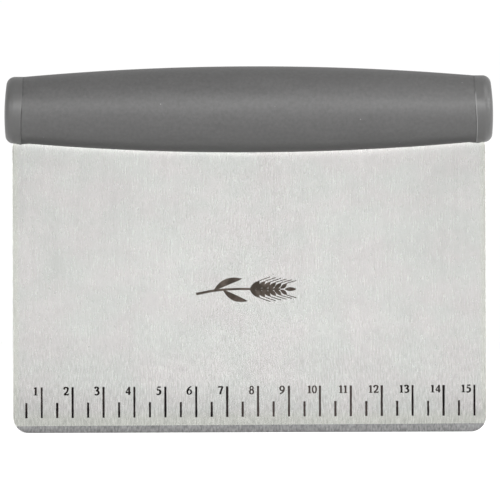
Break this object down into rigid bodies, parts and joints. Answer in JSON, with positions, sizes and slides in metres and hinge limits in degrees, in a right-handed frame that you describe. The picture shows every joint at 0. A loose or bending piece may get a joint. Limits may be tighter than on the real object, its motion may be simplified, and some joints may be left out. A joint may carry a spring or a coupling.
{
  "type": "bench scraper",
  "caption": "Hand tool with a wide rectangular steel blade, a ground straight edge and a crowned round handle along its top, for cutting and moving dough and scraping a worktop.",
  "frame": {"origin": "middle of the working edge, which is the middle of the bottom of the whole object", "axes": "+Z from the working edge up to the handle, +X along the edge and the handle, to the right when the ruler is in front, and +Y through the blade from its ruled front face to its back"},
  "size_m": [0.158, 0.0278, 0.1185],
  "materials": {
    "blade_steel": "satin stainless steel, brushed up and down, with darker ground bevels along the working edge",
    "soft_grip": "matt grey soft-touch elastomer with a fine texture",
    "cap_plastic": "grey moulded plastic, a little glossier than the grip",
    "core_plastic": "dark moulded plastic, hidden inside the handle",
    "rivet_steel": "plain steel, hidden inside the handle"
  },
  "bodies": {
    "root": {"blade": "blade_steel", "grip_sleeve": "soft_grip", "end_cap_left": "cap_plastic", "end_cap_right": "cap_plastic", "core_front": "core_plastic", "core_rear": "core_plastic", "tang_rivet_1": "rivet_steel", "tang_rivet_2": "rivet_steel", "tang_rivet_3": "rivet_steel", "tang_rivet_4": "rivet_steel"}
  },
  "joints": []
}
